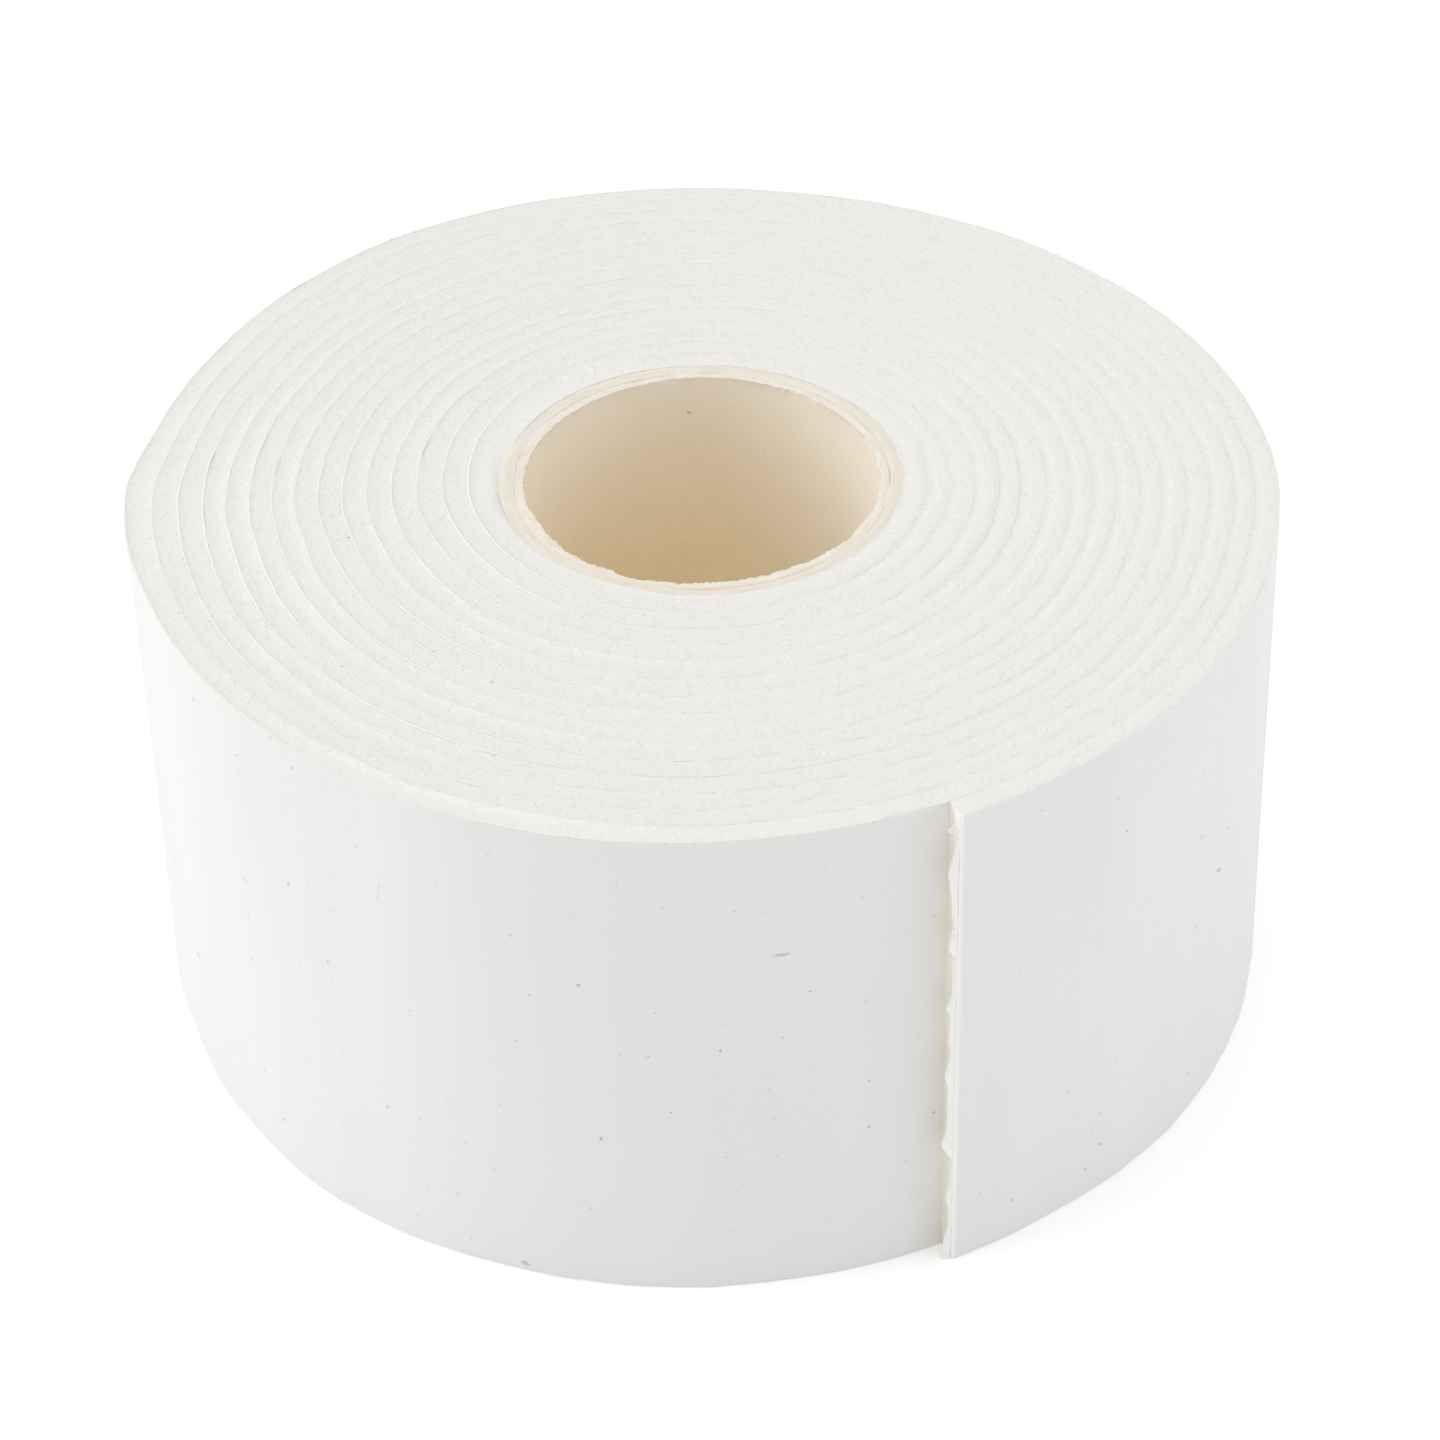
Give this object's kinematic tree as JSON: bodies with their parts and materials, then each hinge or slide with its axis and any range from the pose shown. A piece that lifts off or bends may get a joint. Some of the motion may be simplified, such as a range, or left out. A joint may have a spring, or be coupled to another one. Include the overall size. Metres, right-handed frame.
{
  "type": "grip tape roll",
  "caption": "Roll of soft foam grip tape with a release liner, wound on a paper core, with a free tail that peels off and a liner tab that lifts.",
  "frame": {"origin": "centre of the footprint, on the flat end that the roll stands on", "axes": "+Z along the roll's axis, up through the core; the free tail lies on the +X, -Y side and its cut edge faces clockwise seen from above"},
  "size_m": [0.0776, 0.0768, 0.0381],
  "materials": {
    "foam": "matte, fine granular cut foam",
    "liner": "satin smooth release film",
    "adhesive": "tacky, faintly warm clear coat",
    "core_facing": "matte cream and tan paper",
    "core_paper": "matte paperboard"
  },
  "bodies": {
    "roll": {"core_inner_ply": "core_facing", "core_outer_ply": "core_paper", "core_tack_pad": "adhesive", "foam_winding": "foam", "liner_winding": "liner"},
    "tail_1": {"tail_foam_1": "foam", "tail_liner_1": "liner"},
    "tail_2": {"tail_foam_2": "foam", "tail_liner_2": "liner"},
    "tail_3": {"tail_foam_3": "foam", "tail_liner_3": "liner"},
    "tail_4": {"tail_foam_4": "foam", "tail_liner_4": "liner"},
    "tail_5": {"tail_foam_5": "foam", "tail_liner_5": "liner", "tail_adhesive": "adhesive"},
    "tab_root": {"liner_tab_root": "liner"},
    "tab_tip": {"liner_tab_tip": "liner"}
  },
  "joints": [
    {"name": "tail_peel", "type": "hinge", "parent": "roll", "child": "tail_1", "pos_m": [0.03859, 0.00378, 0.01905], "axis": [0, 0, 1], "range_deg": [0, 16]},
    {"name": "tail_bend_2", "type": "hinge", "parent": "tail_1", "child": "tail_2", "pos_m": [0.03858, -0.00445, 0.01905], "axis": [0, 0, 1], "range_deg": [0, 16]},
    {"name": "tail_bend_3", "type": "hinge", "parent": "tail_2", "child": "tail_3", "pos_m": [0.0368, -0.01249, 0.01905], "axis": [0, 0, 1], "range_deg": [0, 16]},
    {"name": "tail_bend_4", "type": "hinge", "parent": "tail_3", "child": "tail_4", "pos_m": [0.03339, -0.01996, 0.01905], "axis": [0, 0, 1], "range_deg": [0, 16]},
    {"name": "tail_bend_5", "type": "hinge", "parent": "tail_4", "child": "tail_5", "pos_m": [0.02853, -0.02656, 0.01905], "axis": [0, 0, 1], "range_deg": [0, 16]},
    {"name": "liner_peel", "type": "hinge", "parent": "tail_5", "child": "tab_root", "pos_m": [0.02663, -0.02853, 0.01905], "axis": [0, 0, 1], "range_deg": [0, 45]},
    {"name": "liner_curl", "type": "hinge", "parent": "tab_root", "child": "tab_tip", "pos_m": [0.02135, -0.03286, 0.01905], "axis": [0, 0, 1], "range_deg": [0, 45]}
  ],
  "couplings": [
    {"joint": "tail_bend_2", "follows": "tail_peel", "ratio": 1},
    {"joint": "tail_bend_3", "follows": "tail_peel", "ratio": 1},
    {"joint": "tail_bend_4", "follows": "tail_peel", "ratio": 1},
    {"joint": "tail_bend_5", "follows": "tail_peel", "ratio": 1},
    {"joint": "liner_curl", "follows": "liner_peel", "ratio": 1}
  ]
}
